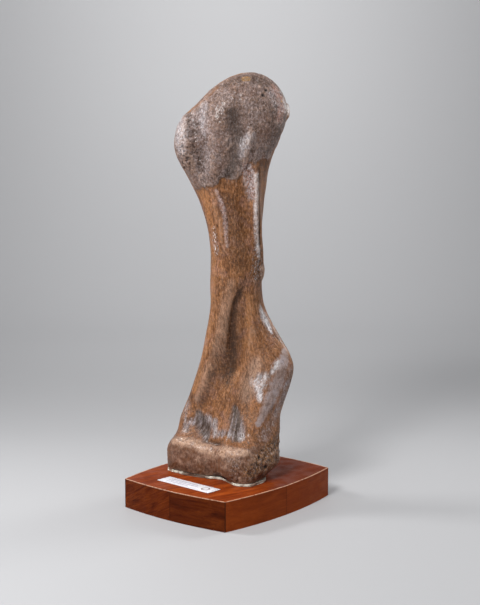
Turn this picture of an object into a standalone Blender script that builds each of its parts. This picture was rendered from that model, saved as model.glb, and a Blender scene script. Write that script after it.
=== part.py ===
"""A fossil mammoth humerus, the left one, bedded upright on a bowed wooden plinth.

Metres, +Z up, with the origin under the middle of the plinth. The bone's front and the plinth's label
side face -Y, the bone's outer (lateral) side faces +X, and its head faces +Y.
"""

import math
from collections import namedtuple

import bmesh
import bpy
import numpy as np

# Plinth: a block with four bowed sides, faced all round with thin panels
PLINTH_WIDTH = 0.300
PLINTH_DEPTH = 0.376
PLINTH_HEIGHT = 0.067
BOW_RADIUS = 0.865
BOW_STEPS = 8
FACING_THICKNESS = 0.003
ARRIS = 0.0008
FACING_NAMES = (
    "facing_front_left",
    "facing_front_right",
    "facing_right_front",
    "facing_right_back",
    "facing_back_right",
    "facing_back_left",
    "facing_left_back",
    "facing_left_front",
)

# Label card, laid a little askew in front of the bone
LABEL_SIZE = (0.160, 0.040)
LABEL_THICKNESS = 0.0010
LABEL_CENTRE = (-0.001, -0.137)
LABEL_TURN = math.radians(-3.0)

# Putty that the bone's foot is bedded in
BED_THICKNESS = 0.004
BED_RIM = 0.005
BED_UNEVENNESS = 0.003
BED_WAVES = ((5, 1.0), (11, 0.0), (17, 2.0))  # waves round the rim: how many, and where they start
BED_EASED = 0.0012

# Colour and roughness of each material
MATERIALS = {
    "fossil_bone": ((0.30, 0.19, 0.11), 0.45),
    "plinth_wood": ((0.42, 0.07, 0.02), 0.28),
    "facing_wood": ((0.22, 0.04, 0.02), 0.28),
    "white_putty": ((0.72, 0.68, 0.58), 0.75),
    "label_card": ((0.82, 0.81, 0.84), 0.45),
}

# Neighbouring solids keep this gap. A facing's mitred end is trimmed by more along its side
GAP = 0.0003
CORNER_TRIM = 0.6 * GAP

# Bone heights, above the floor
BONE_FOOT = PLINTH_HEIGHT + BED_THICKNESS + 2 * GAP
FOOT_EDGE_BLEND = 0.004
BED_PROBE_HEIGHT = BONE_FOOT + 0.002

# Grid drawn round the bone: flat rings under its foot, level rings up it, a fan of rings over its head
RING_POINTS = 60
FOOT_RING_SHARES = (0.30, 0.60, 0.85, 0.97)
RING_HEIGHTS = (
    *(0.0725, 0.0740, 0.0770, 0.0820, 0.0900, 0.1000, 0.1110, 0.1230),
    *np.linspace(0.135, 0.225, 9, endpoint=False),
    *np.linspace(0.225, 0.760, 28, endpoint=False),
    *np.linspace(0.760, 0.865, 8),
)
HEAD_FAN_RINGS = 14
FARTHEST_REACH = 0.30
WALK_STEPS = 28
WALK_SHARE = 0.8

# Middle line that the rings are drawn about: height, x, y
SPINE = (
    (0.070, -0.004, -0.002),
    (0.160, -0.002, 0.004),
    (0.240, 0.016, 0.012),
    (0.320, 0.036, 0.022),
    (0.400, 0.026, 0.016),
    (0.500, 0.014, 0.012),
    (0.640, 0.010, 0.012),
    (0.760, 0.000, 0.010),
    (0.880, 0.004, 0.018),
)

# Shaft sections: height, x, y, half width, half depth, turn in degrees, squareness (2 is an ellipse)
SHAFT = (
    (0.150, -0.006, 0.004, 0.112, 0.058, 0, 3.0),
    (0.200, 0.000, 0.006, 0.104, 0.048, 4, 2.8),
    (0.260, 0.024, 0.014, 0.102, 0.042, 12, 2.4),
    (0.320, 0.038, 0.022, 0.098, 0.040, 20, 2.2),
    (0.380, 0.029, 0.018, 0.080, 0.044, 26, 2.2),
    (0.440, 0.018, 0.014, 0.062, 0.050, 34, 2.2),
    (0.500, 0.013, 0.012, 0.059, 0.056, 40, 2.2),
    (0.580, 0.014, 0.012, 0.058, 0.060, 40, 2.2),
    (0.640, 0.010, 0.011, 0.062, 0.062, 40, 2.3),
    (0.700, 0.002, 0.010, 0.074, 0.066, 40, 2.4),
    (0.760, -0.008, 0.007, 0.092, 0.072, 40, 2.4),
    (0.800, -0.008, 0.008, 0.097, 0.074, 40, 2.4),
    (0.840, -0.004, 0.012, 0.088, 0.064, 40, 2.4),
    (0.880, 0.004, 0.016, 0.050, 0.040, 40, 2.4),
)

Lump = namedtuple("Lump", "centre radii turn tilt squareness blend")
Block = namedtuple("Block", "centre halves round blend")
Ridge = namedtuple("Ridge", "points radii long_way stretch blend")
UPRIGHT = (0.0, 0.0, 1.0)

# Rounded masses of the bone's two ends
HEAD = Lump((-0.026, 0.076, 0.877), (0.098, 0.100, 0.098), 0, 0, 2.0, 0.034)
GREATER_TUBERCLE = Lump((0.018, 0.000, 0.863), (0.133, 0.064, 0.095), 40, 45, 2.2, 0.030)
LESSER_TUBERCLE = Lump((-0.046, -0.064, 0.832), (0.041, 0.044, 0.058), 40, 0, 2.0, 0.028)
TUBERCLE_SPUR = Lump((0.085, 0.095, 0.893), (0.014, 0.014, 0.024), 40, 0, 2.0, 0.006)
MEDIAL_CONDYLE = Lump((-0.078, 0.004, 0.116), (0.048, 0.084, 0.054), 0, 0, 2.8, 0.014)
LATERAL_CONDYLE = Lump((0.068, -0.006, 0.114), (0.044, 0.078, 0.052), 0, 0, 2.8, 0.014)
MEDIAL_EPICONDYLE = Lump((-0.090, 0.034, 0.165), (0.034, 0.042, 0.044), 0, 0, 2.2, 0.020)
LATERAL_EPICONDYLE = Lump((0.078, 0.024, 0.170), (0.032, 0.042, 0.048), 0, 0, 2.3, 0.020)
LUMPS = (
    HEAD,
    GREATER_TUBERCLE,
    LESSER_TUBERCLE,
    TUBERCLE_SPUR,
    MEDIAL_CONDYLE,
    LATERAL_CONDYLE,
    MEDIAL_EPICONDYLE,
    LATERAL_EPICONDYLE,
)

# The square foot that the condyles swell from
FOOT_BLOCK = Block((-0.010, -0.013, 0.100), (0.126, 0.064, 0.041), 0.022, 0.016)

# The spool between the condyles, and the crests and columns that run along the bone
TROCHLEA = Ridge(
    ((-0.080, 0.020, 0.118), (-0.006, 0.014, 0.114), (0.068, 0.012, 0.116)),
    (0.057, 0.050, 0.053),
    UPRIGHT,
    1.0,
    0.016,
)
MEDIAL_COLUMN = Ridge(
    (
        (-0.100, -0.028, 0.130),
        (-0.094, -0.024, 0.180),
        (-0.071, -0.020, 0.230),
        (-0.034, -0.012, 0.330),
        (-0.014, -0.006, 0.430),
    ),
    (0.026, 0.026, 0.024, 0.024, 0.020),
    UPRIGHT,
    1.0,
    0.024,
)
SUPINATOR_CREST = Ridge(
    (
        (0.090, 0.006, 0.160),
        (0.097, 0.018, 0.230),
        (0.122, 0.030, 0.318),
        (0.119, 0.036, 0.342),
        (0.084, 0.038, 0.390),
        (0.046, 0.026, 0.460),
    ),
    (0.013, 0.014, 0.013, 0.012, 0.010, 0.006),
    (0.52, 0.85, 0.0),
    3.0,
    0.012,
)
DELTOID_CREST = Ridge(
    (
        (0.077, 0.004, 0.785),
        (0.075, 0.003, 0.720),
        (0.074, 0.006, 0.680),
        (0.067, 0.024, 0.610),
        (0.054, 0.040, 0.542),
    ),
    (0.009, 0.011, 0.012, 0.010, 0.014),
    UPRIGHT,
    1.0,
    0.012,
)
PECTORAL_CREST = Ridge(
    ((0.008, -0.064, 0.770), (0.011, -0.060, 0.718), (0.020, -0.054, 0.660), (0.030, -0.046, 0.600)),
    (0.008, 0.009, 0.008, 0.006),
    UPRIGHT,
    1.0,
    0.016,
)
RIDGES = (TROCHLEA, MEDIAL_COLUMN, SUPINATOR_CREST, DELTOID_CREST, PECTORAL_CREST)

# Hollows cut into it
TUBERCLE_DISH = Lump((0.112, -0.092, 0.868), (0.062, 0.075, 0.074), 40, 0, 2.0, 0.020)
OLECRANON_FOSSA = Lump((-0.004, 0.094, 0.210), (0.052, 0.054, 0.068), 0, 0, 2.0, 0.030)
RADIAL_FOSSA_MEDIAL = Lump((-0.030, -0.070, 0.180), (0.036, 0.030, 0.028), 0, 0, 2.0, 0.012)
RADIAL_FOSSA_LATERAL = Lump((0.062, -0.072, 0.188), (0.026, 0.032, 0.034), 0, 0, 2.0, 0.012)
FLANGE_HOLLOW = Lump((0.078, -0.056, 0.285), (0.030, 0.048, 0.080), 0, 0, 2.0, 0.024)
TROCHLEA_WAIST = Lump((0.000, -0.140, 0.098), (0.050, 0.072, 0.080), 0, 0, 2.0, 0.020)
FOOT_ARCH = Lump((0.030, -0.090, 0.056), (0.040, 0.052, 0.027), 0, 0, 2.0, 0.010)
BACK_ARCH = Lump((-0.004, 0.092, 0.056), (0.036, 0.040, 0.028), 0, 0, 2.0, 0.010)
LATERAL_UNDERCUT = Lump((0.128, 0.080, 0.062), (0.060, 0.090, 0.036), 0, 0, 2.0, 0.012)
HOLLOWS = (
    TUBERCLE_DISH,
    OLECRANON_FOSSA,
    RADIAL_FOSSA_MEDIAL,
    RADIAL_FOSSA_LATERAL,
    FLANGE_HOLLOW,
    TROCHLEA_WAIST,
    FOOT_ARCH,
    BACK_ARCH,
    LATERAL_UNDERCUT,
)
BICIPITAL_GROOVE = Ridge(
    ((-0.010, -0.084, 0.905), (-0.003, -0.092, 0.850), (0.004, -0.086, 0.790)),
    (0.012, 0.018, 0.010),
    UPRIGHT,
    1.0,
    0.024,
)
DELTOID_TROUGH = Ridge(
    ((0.086, -0.044, 0.770), (0.080, -0.034, 0.700), (0.080, -0.022, 0.620)),
    (0.020, 0.027, 0.018),
    UPRIGHT,
    1.0,
    0.012,
)
BRACHIAL_GROOVE = Ridge(
    (
        (0.082, -0.012, 0.540),
        (0.073, -0.026, 0.480),
        (0.059, -0.034, 0.412),
        (0.038, -0.032, 0.329),
        (0.042, -0.044, 0.270),
    ),
    (0.010, 0.022, 0.026, 0.023, 0.014),
    UPRIGHT,
    1.0,
    0.012,
)
GROOVES = (BICIPITAL_GROOVE, DELTOID_TROUGH, BRACHIAL_GROOVE)


def clear_scene():
    for thing in list(bpy.data.objects):
        bpy.data.objects.remove(thing)


def principled(name):
    colour, roughness = MATERIALS[name]
    material = bpy.data.materials.new(name)
    material.use_nodes = True
    shader = material.node_tree.nodes["Principled BSDF"]
    shader.inputs["Base Color"].default_value = (*colour, 1)
    shader.inputs["Roughness"].default_value = roughness
    shader.inputs["Metallic"].default_value = 0.0
    return material


def add_object(name, mesh, material):
    mesh.materials.append(material)
    thing = bpy.data.objects.new(name, mesh)
    bpy.context.scene.collection.objects.link(thing)
    return thing


def track(heights, knots, values):
    """Values at these heights, on a smooth curve through the values at the knots."""
    knots, values = np.asarray(knots, float), np.asarray(values, float)
    slopes = np.gradient(values, knots)
    heights = np.clip(heights, knots[0], knots[-1])
    i = np.clip(np.searchsorted(knots, heights) - 1, 0, len(knots) - 2)
    span = knots[i + 1] - knots[i]
    t = (heights - knots[i]) / span
    return (
        (1 + 2 * t) * (1 - t) ** 2 * values[i]
        + t * (1 - t) ** 2 * span * slopes[i]
        + t**2 * (3 - 2 * t) * values[i + 1]
        + t**2 * (t - 1) * span * slopes[i + 1]
    )


def tracks(heights, rows):
    """One smooth curve for each column of the rows, whose first column is the height."""
    columns = np.asarray(rows, float).T
    return [track(heights, columns[0], column) for column in columns[1:]]


def turned(across, along, degrees):
    cosine, sine = np.cos(np.radians(degrees)), np.sin(np.radians(degrees))
    return across * cosine + along * sine, along * cosine - across * sine


def union(first, second, blend):
    """The nearer of two distances, rounded into a fillet where they are within the blend of each other."""
    fillet = np.maximum(blend - np.abs(first - second), 0) / blend
    return np.minimum(first, second) - fillet**2 * blend / 4


def cut(body, hole, blend):
    return -union(-body, hole, blend)


def lump_distance(points, lump):
    """Roughly the distance to a more or less square ellipsoid, turned about the vertical and then tilted."""
    offset = points - np.array(lump.centre)
    across, along = turned(offset[:, 0], offset[:, 1], lump.turn)
    across, height = turned(across, offset[:, 2], lump.tilt)
    offset = np.abs(np.stack([across, along, height], 1))
    radii = np.array(lump.radii)
    power = lump.squareness
    near = np.maximum(((offset / radii) ** power).sum(axis=1), 1e-12) ** (1 / power)
    steep = np.linalg.norm((offset / radii) ** (power - 1) / radii, axis=1) * near ** (1 - power)
    return (near - 1) / np.maximum(steep, 1e-9)


def block_distance(points, block):
    """Distance to a box with rounded corners."""
    offset = np.abs(points - np.array(block.centre)) - np.array(block.halves) + block.round
    outside = np.linalg.norm(np.maximum(offset, 0), axis=1)
    return outside + np.minimum(offset.max(axis=1), 0) - block.round


def ridge_distance(points, ridge):
    """Distance to a chain of tapering rods that are stretched in one direction."""
    long_way = np.array(ridge.long_way, float)
    long_way /= np.linalg.norm(long_way)

    def squeezed(xyz):
        return xyz + np.multiply.outer(xyz @ long_way, long_way) * (1 / ridge.stretch - 1)

    xyz = squeezed(points)
    chain = [squeezed(np.array(point, float)) for point in ridge.points]
    nearest = np.full(len(points), np.inf)
    for start, end, radius, next_radius in zip(chain, chain[1:], ridge.radii, ridge.radii[1:]):
        along = end - start
        share = np.clip((xyz - start) @ along / (along @ along), 0, 1)
        gap = np.linalg.norm(xyz - start - np.multiply.outer(share, along), axis=1)
        nearest = np.minimum(nearest, gap - radius - share * (next_radius - radius))
    return nearest


def shaft_distance(points):
    """Roughly the distance to the shaft, whose section changes with height."""
    height = points[:, 2]
    x, y, half_width, half_depth, turn, power = tracks(height, SHAFT)
    across, along = turned(points[:, 0] - x, points[:, 1] - y, turn)
    share = (np.abs(across / half_width) ** power + np.abs(along / half_depth) ** power) ** (1 / power)
    sideways = (share - 1) * np.minimum(half_width, half_depth)
    beyond = np.maximum(SHAFT[0][0] - height, 0) + np.maximum(height - SHAFT[-1][0], 0)
    return np.where(beyond > 0, np.hypot(np.maximum(sideways, 0), beyond), sideways)


def bone_distance(points):
    """Below zero inside the humerus and above zero outside it."""
    distance = union(shaft_distance(points), block_distance(points, FOOT_BLOCK), FOOT_BLOCK.blend)
    for ridge in RIDGES:
        distance = union(distance, ridge_distance(points, ridge), ridge.blend)
    for lump in LUMPS:
        distance = union(distance, lump_distance(points, lump), lump.blend)
    for hollow in HOLLOWS:
        distance = cut(distance, lump_distance(points, hollow), hollow.blend)
    for groove in GROOVES:
        distance = cut(distance, ridge_distance(points, groove), groove.blend)
    return cut(distance, points[:, 2] - BONE_FOOT, FOOT_EDGE_BLEND)


def surface_along(origins, directions):
    """Where each ray from inside the bone last leaves it, found by walking in from outside."""
    reach = np.full(len(origins), FARTHEST_REACH)
    for _ in range(WALK_STEPS):
        reach -= WALK_SHARE * bone_distance(origins + directions * reach[:, None])
    return origins + directions * reach[:, None]


def spine_point(height):
    x, y = tracks(np.array([height]), SPINE)
    return np.array([x[0], y[0], height])


def ring(height, tilt=0.0):
    """Points on the bone, seen all round from a place on its middle line."""
    compass = np.linspace(0, 2 * math.pi, RING_POINTS, endpoint=False)
    level, rise = math.cos(tilt), math.sin(tilt)
    directions = np.stack([np.cos(compass) * level, np.sin(compass) * level, np.full(RING_POINTS, rise)], 1)
    return surface_along(np.tile(spine_point(height), (RING_POINTS, 1)), directions)


def humerus_rings():
    """Rings of points from the middle of the foot to just below the crown."""
    level_rings = [ring(height) for height in RING_HEIGHTS]
    centre = spine_point(BONE_FOOT)
    foot_rings = [centre + share * (level_rings[0] - centre) for share in FOOT_RING_SHARES]
    for flat in foot_rings:
        flat[:, 2] = BONE_FOOT
    tilts = np.linspace(0, math.pi / 2, HEAD_FAN_RINGS)[1:-1]
    return foot_rings + level_rings + [ring(RING_HEIGHTS[-1], tilt) for tilt in tilts]


def crown():
    """The bone's highest point above its middle line."""
    return surface_along(spine_point(RING_HEIGHTS[-1])[None], np.array([UPRIGHT]))[0]


def humerus_mesh():
    rings = humerus_rings()
    shape = bmesh.new()
    foot = shape.verts.new(spine_point(BONE_FOOT))
    top = shape.verts.new(crown())
    loops = [[shape.verts.new(point) for point in points] for points in rings]
    around = range(RING_POINTS)
    for low, high in zip(loops, loops[1:]):
        for i in around:
            j = (i + 1) % RING_POINTS
            shape.faces.new((low[i], low[j], high[j], high[i]))
    for i in around:
        j = (i + 1) % RING_POINTS
        shape.faces.new((foot, loops[0][j], loops[0][i]))
        shape.faces.new((top, loops[-1][i], loops[-1][j]))
    mesh = bpy.data.meshes.new("humerus")
    shape.to_mesh(mesh)
    shape.free()
    mesh.shade_smooth()
    return mesh


def bowed_side(start, end):
    """Points along one bowed side of the plinth, from its first corner up to but not including the next."""
    start, end = np.array(start, float), np.array(end, float)
    half = np.linalg.norm(end - start) / 2
    along = (end - start) / (2 * half)
    outward = np.array([along[1], -along[0]])
    centre = (start + end) / 2 - outward * math.sqrt(BOW_RADIUS**2 - half**2)
    reach = math.asin(half / BOW_RADIUS)
    angles = np.linspace(-reach, reach, BOW_STEPS, endpoint=False)
    return [centre + BOW_RADIUS * (math.sin(a) * along + math.cos(a) * outward) for a in angles]


def plinth_outline():
    """Anticlockwise from the front left corner, all four sides."""
    w, d = PLINTH_WIDTH / 2, PLINTH_DEPTH / 2
    corners = [(-w, -d), (w, -d), (w, d), (-w, d)]
    sides = [bowed_side(start, end) for start, end in zip(corners, corners[1:] + corners[:1])]
    return [point for side in sides for point in side]


def set_in(outline, distance):
    """The same outline with every side moved inwards by the distance."""
    points = np.array(outline)
    towards = np.roll(points, -1, axis=0) - points
    towards /= np.linalg.norm(towards, axis=1)[:, None]
    inward = np.stack([-towards[:, 1], towards[:, 0]], 1)
    before = np.roll(inward, 1, axis=0)
    middle = inward + before
    middle /= (middle * inward).sum(axis=1)[:, None]
    return points + middle * distance


def slab(name, outline, low, high, eased=0.0):
    """A flat block with this outline, anticlockwise from above, and the edge round its top eased."""
    shape = bmesh.new()
    base = [shape.verts.new((x, y, low)) for x, y in outline]
    lid = [shape.verts.new((x, y, high)) for x, y in outline]
    shape.faces.new(base[::-1])
    top = shape.faces.new(lid)
    for i in range(len(base)):
        j = (i + 1) % len(base)
        shape.faces.new((base[i], base[j], lid[j], lid[i]))
    if eased:
        bmesh.ops.bevel(shape, geom=list(top.edges), offset=eased, segments=1, affect="EDGES")
    mesh = bpy.data.meshes.new(name)
    shape.to_mesh(mesh)
    shape.free()
    return mesh


def add_plinth(core_wood, facing_wood):
    outline = plinth_outline()
    core = slab("plinth_core", set_in(outline, FACING_THICKNESS + GAP), 0, PLINTH_HEIGHT)
    add_object("plinth_core", core, core_wood)
    outer, inner = np.array(outline), set_in(outline, FACING_THICKNESS)
    half_side = BOW_STEPS // 2
    for index, name in enumerate(FACING_NAMES):
        run = [(index * half_side + step) % len(outer) for step in range(half_side + 1)]
        trims = (CORNER_TRIM, GAP / 2) if index % 2 == 0 else (GAP / 2, CORNER_TRIM)
        front, back = trimmed(outer[run], *trims), trimmed(inner[run], *trims)
        add_object(name, slab(name, [*front, *back[::-1]], 0, PLINTH_HEIGHT, ARRIS), facing_wood)


def trimmed(line, first, last):
    """The same line of points with its two ends shortened by these lengths."""
    line = line.copy()
    for end, next_point, length in ((0, 1, first), (-1, -2, last)):
        along = line[next_point] - line[end]
        line[end] += along / np.linalg.norm(along) * length
    return line


def bed_outline():
    """The foot of the bone seen from above, widened by an uneven rim."""
    foot = ring(BED_PROBE_HEIGHT)
    foot = sum(np.roll(foot, shift, axis=0) for shift in (-1, 0, 1)) / 3
    outward = foot - spine_point(BED_PROBE_HEIGHT)
    outward /= np.linalg.norm(outward, axis=1)[:, None]
    compass = np.linspace(0, 2 * math.pi, RING_POINTS, endpoint=False)
    waves = sum(np.sin(count * compass + start) for count, start in BED_WAVES) / len(BED_WAVES)
    return (foot + outward * (BED_RIM + BED_UNEVENNESS * waves)[:, None])[:, :2]


def label_outline():
    w, h = LABEL_SIZE[0] / 2, LABEL_SIZE[1] / 2
    corners = ((-w, -h), (w, -h), (w, h), (-w, h))
    cosine, sine = math.cos(LABEL_TURN), math.sin(LABEL_TURN)
    x, y = LABEL_CENTRE
    return [(x + u * cosine - v * sine, y + u * sine + v * cosine) for u, v in corners]


def main():
    clear_scene()
    add_object("humerus", humerus_mesh(), principled("fossil_bone"))
    add_plinth(principled("plinth_wood"), principled("facing_wood"))
    bed = slab("putty_bed", bed_outline(), PLINTH_HEIGHT + GAP, BONE_FOOT - GAP, BED_EASED)
    add_object("putty_bed", bed, principled("white_putty"))
    label_low = PLINTH_HEIGHT + GAP
    label = slab("label_card", label_outline(), label_low, label_low + LABEL_THICKNESS)
    add_object("label_card", label, principled("label_card"))


main()
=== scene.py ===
"""Looks of a fossil mammoth humerus on its bowed wooden plinth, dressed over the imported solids.

Metres, +Z up. The bone's front and the label's side of the plinth face -Y, and the outer (lateral) side +X.
"""

import math

import bpy
import numpy as np
from mathutils import Matrix, Vector, noise


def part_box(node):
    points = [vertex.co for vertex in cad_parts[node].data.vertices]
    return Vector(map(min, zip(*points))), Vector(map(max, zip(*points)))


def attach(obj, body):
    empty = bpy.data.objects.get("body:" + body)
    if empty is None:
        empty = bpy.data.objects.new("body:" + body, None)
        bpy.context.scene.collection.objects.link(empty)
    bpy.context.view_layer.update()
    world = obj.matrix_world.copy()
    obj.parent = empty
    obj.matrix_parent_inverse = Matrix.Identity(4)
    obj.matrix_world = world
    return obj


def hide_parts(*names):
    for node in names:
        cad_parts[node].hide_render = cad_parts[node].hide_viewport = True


bl_info = {
    "name": "Mounted Fossil Humerus",
    "version": (1, 0, 0),
    "blender": (4, 5, 0),
    "location": "3D View > Sidebar > Fossil",
    "description": "Dresses a fossil mammoth humerus, its wooden plinth, putty bedding and label card",
    "category": "Object",
}

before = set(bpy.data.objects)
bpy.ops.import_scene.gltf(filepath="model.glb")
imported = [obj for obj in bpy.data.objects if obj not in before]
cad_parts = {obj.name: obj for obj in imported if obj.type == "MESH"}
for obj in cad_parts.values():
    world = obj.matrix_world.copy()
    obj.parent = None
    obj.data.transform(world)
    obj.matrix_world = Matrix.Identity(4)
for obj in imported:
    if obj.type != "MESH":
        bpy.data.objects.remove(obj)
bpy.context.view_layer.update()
BONE_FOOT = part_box("humerus")[0].z
BONE_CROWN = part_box("humerus")[1].z
PLINTH_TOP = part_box("plinth_core")[1].z
CROWN_CLEARANCE = 0.0003
MERGE_DISTANCE = 1e-5

# Middle line of the bone: height, x, y
SPINE = (
    (0.070, -0.004, -0.002), (0.160, -0.002, 0.004), (0.240, 0.016, 0.012), (0.320, 0.036, 0.022),
    (0.400, 0.026, 0.016), (0.500, 0.014, 0.012), (0.640, 0.010, 0.012), (0.760, 0.000, 0.010),
    (0.880, 0.004, 0.018),
)
FLOW_RADIUS = 0.080

# The worn plate on the front of the upper end: the way it runs, the way it faces, and its lower edge as
# (how far along it, height)
PLATE_ALONG = np.array((0.764, 0.645, 0.0))
PLATE_FACING = np.array((0.645, -0.764, 0.0))
PLATE_EDGE = (
    (-0.120, 0.768), (-0.095, 0.745), (-0.064, 0.725), (-0.053, 0.733), (-0.033, 0.726), (-0.017, 0.742),
    (-0.002, 0.748), (0.019, 0.739), (0.026, 0.758), (0.035, 0.772), (0.048, 0.790), (0.061, 0.779),
    (0.076, 0.798), (0.090, 0.790), (0.108, 0.812), (0.130, 0.822),
)

# Marks on the bone. Each path is a row of places, x, y, z and how far the mark reaches there
LOBE = ((-0.055, -0.092, 0.877, 0.034), (-0.048, -0.107, 0.844, 0.036), (-0.046, -0.105, 0.800, 0.034))
LOBE_FACE = ((-0.058, -0.094, 0.872, 0.024), (-0.050, -0.107, 0.840, 0.026), (-0.046, -0.107, 0.815, 0.018))
LOBE_BORDER = (
    (-0.052, -0.070, 0.893, 0.010), (-0.038, -0.085, 0.888, 0.012), (-0.026, -0.089, 0.866, 0.014),
    (-0.022, -0.090, 0.844, 0.014), (-0.016, -0.090, 0.815, 0.014), (-0.010, -0.084, 0.770, 0.012),
)
LOBE_HOLES = ((-0.040, -0.107, 0.811, 0.016), (-0.040, -0.096, 0.790, 0.020), (-0.050, -0.086, 0.768, 0.018))
HEAD_RIM = (
    (-0.040, -0.070, 0.900, 0.009), (-0.015, -0.062, 0.920, 0.011), (0.000, -0.052, 0.936, 0.011),
    (0.010, -0.044, 0.950, 0.010),
)
TOP_EDGE = (
    (0.012, -0.045, 0.950, 0.012), (0.034, -0.036, 0.955, 0.020), (0.061, -0.010, 0.968, 0.022),
    (0.078, 0.006, 0.966, 0.022), (0.098, 0.024, 0.954, 0.016),
)
YELLOW_SPOT = ((0.058, -0.012, 0.966, 0.010), (0.064, -0.008, 0.966, 0.009))
RIGHT_RIM = ((0.104, 0.034, 0.945, 0.014), (0.118, 0.042, 0.912, 0.017), (0.119, 0.038, 0.878, 0.014))
RIM_PITS = ((0.098, 0.013, 0.941, 0.0050), (0.098, 0.003, 0.930, 0.0055))
PLATE_SHEEN = (
    (-0.010, -0.068, 0.905, 0.012), (-0.010, -0.073, 0.875, 0.014), (-0.004, -0.074, 0.845, 0.008),
)
PLATE_GLINT = ((0.082, -0.022, 0.842, 0.010), (0.073, -0.030, 0.826, 0.014), (0.068, -0.032, 0.800, 0.010))
RIM_GLINT = ((0.106, 0.024, 0.936, 0.010), (0.112, 0.028, 0.912, 0.012))
PLATE_SHADE = ((0.050, -0.045, 0.905, 0.040), (0.056, -0.042, 0.865, 0.036), (0.040, -0.058, 0.800, 0.028))
PLATE_VALLEY = (
    (0.052, -0.046, 0.890, 0.014), (0.063, -0.039, 0.845, 0.020), (0.058, -0.042, 0.795, 0.020),
    (0.044, -0.046, 0.755, 0.014),
)
PLATE_RIDGE = (
    (0.082, -0.020, 0.850, 0.010), (0.076, -0.027, 0.818, 0.015), (0.072, -0.026, 0.788, 0.013),
)
PLATE_SWELL = (
    (-0.013, -0.066, 0.910, 0.016), (-0.006, -0.074, 0.866, 0.022), (0.010, -0.073, 0.811, 0.024),
    (0.021, -0.069, 0.760, 0.016),
)
SPUR = ((0.104, 0.076, 0.908, 0.008), (0.109, 0.078, 0.888, 0.012))
SPUR_TIP = ((0.107, 0.074, 0.914, 0.008), (0.112, 0.074, 0.898, 0.007))
RIM_SPOT = ((0.119, 0.044, 0.917, 0.007),)
FOSSA_GLINT = ((0.070, -0.041, 0.186, 0.006), (0.074, -0.044, 0.168, 0.010))
JOINT_GLINT = ((-0.006, -0.043, 0.196, 0.007), (0.000, -0.047, 0.166, 0.009))
TROUGH = ((0.070, -0.022, 0.778, 0.014), (0.074, -0.010, 0.748, 0.020), (0.074, -0.006, 0.712, 0.014))
BEHIND_CREST = (
    (0.087, 0.006, 0.767, 0.004), (0.087, 0.008, 0.734, 0.005), (0.086, 0.009, 0.690, 0.005),
    (0.081, 0.013, 0.645, 0.005), (0.077, 0.019, 0.600, 0.004),
)
TROUGH_SIDE = (
    (0.084, 0.019, 0.767, 0.010), (0.079, 0.027, 0.733, 0.013), (0.077, 0.026, 0.690, 0.013),
    (0.076, 0.028, 0.650, 0.010),
)
PALE_RIDGE = (
    (0.021, -0.065, 0.722, 0.005), (0.027, -0.058, 0.701, 0.008), (0.031, -0.053, 0.679, 0.008),
    (0.034, -0.050, 0.655, 0.008), (0.036, -0.050, 0.628, 0.007), (0.038, -0.048, 0.598, 0.004),
)
FRONT_MARGIN = ((0.004, -0.052, 0.636, 0.008), (0.003, -0.050, 0.612, 0.012), (0.005, -0.048, 0.582, 0.009))
SIDE_CREST = (
    (0.083, -0.003, 0.756, 0.006), (0.082, -0.001, 0.712, 0.007), (0.082, 0.001, 0.668, 0.007),
    (0.077, 0.009, 0.611, 0.007), (0.073, 0.018, 0.570, 0.006),
)
CREST_KNOB = ((0.069, 0.037, 0.540, 0.016), (0.068, 0.036, 0.528, 0.012))
SPIRAL_GROOVE = (
    (0.060, -0.012, 0.524, 0.010), (0.055, -0.018, 0.503, 0.010), (0.049, -0.022, 0.486, 0.010),
    (0.043, -0.027, 0.466, 0.010), (0.036, -0.025, 0.431, 0.011), (0.030, -0.021, 0.389, 0.012),
    (0.025, -0.018, 0.356, 0.014), (0.021, -0.020, 0.319, 0.017), (0.016, -0.026, 0.280, 0.015),
    (0.006, -0.032, 0.246, 0.011),
)
FLANGE_SWELL = ((0.078, -0.004, 0.400, 0.018), (0.083, -0.002, 0.345, 0.024), (0.090, -0.002, 0.300, 0.024))
FLANGE_STREAK = (
    (0.068, 0.022, 0.468, 0.004), (0.072, 0.026, 0.453, 0.008), (0.078, 0.031, 0.436, 0.011),
    (0.085, 0.035, 0.418, 0.009), (0.095, 0.038, 0.399, 0.004),
)
FLANGE_FACE = (
    (0.066, -0.004, 0.480, 0.016), (0.068, -0.006, 0.440, 0.022), (0.066, -0.010, 0.390, 0.022),
)
TAN_FACE = ((0.086, -0.001, 0.335, 0.022), (0.072, -0.005, 0.298, 0.026), (0.062, -0.012, 0.258, 0.022))
FLANGE_SIDE = (
    (0.142, 0.046, 0.318, 0.014), (0.137, 0.042, 0.280, 0.018), (0.128, 0.036, 0.240, 0.020),
    (0.118, 0.018, 0.200, 0.022), (0.112, -0.010, 0.170, 0.020),
)
ROUGH_MARGIN = ((0.078, 0.010, 0.600, 0.012), (0.074, 0.014, 0.565, 0.018), (0.070, 0.014, 0.532, 0.020))
PLATE_LEFT = ((-0.016, -0.080, 0.880, 0.030), (0.004, -0.075, 0.820, 0.034), (0.002, -0.078, 0.775, 0.026))
GROOVE_SHADE = ((0.030, -0.024, 0.440, 0.024), (0.020, -0.020, 0.370, 0.028), (0.012, -0.026, 0.300, 0.026))
GROOVE_BANK = (
    (0.040, -0.037, 0.516, 0.014), (0.030, -0.041, 0.478, 0.017), (0.020, -0.043, 0.440, 0.018),
    (0.008, -0.039, 0.395, 0.018), (-0.010, -0.038, 0.345, 0.018), (-0.032, -0.040, 0.295, 0.018),
    (-0.054, -0.044, 0.245, 0.014),
)
WARM_MARGIN = (
    (-0.018, -0.066, 0.715, 0.024), (-0.010, -0.055, 0.640, 0.022), (-0.012, -0.047, 0.540, 0.020),
    (-0.024, -0.043, 0.430, 0.020), (-0.052, -0.044, 0.330, 0.020), (-0.070, -0.046, 0.262, 0.018),
)
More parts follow.
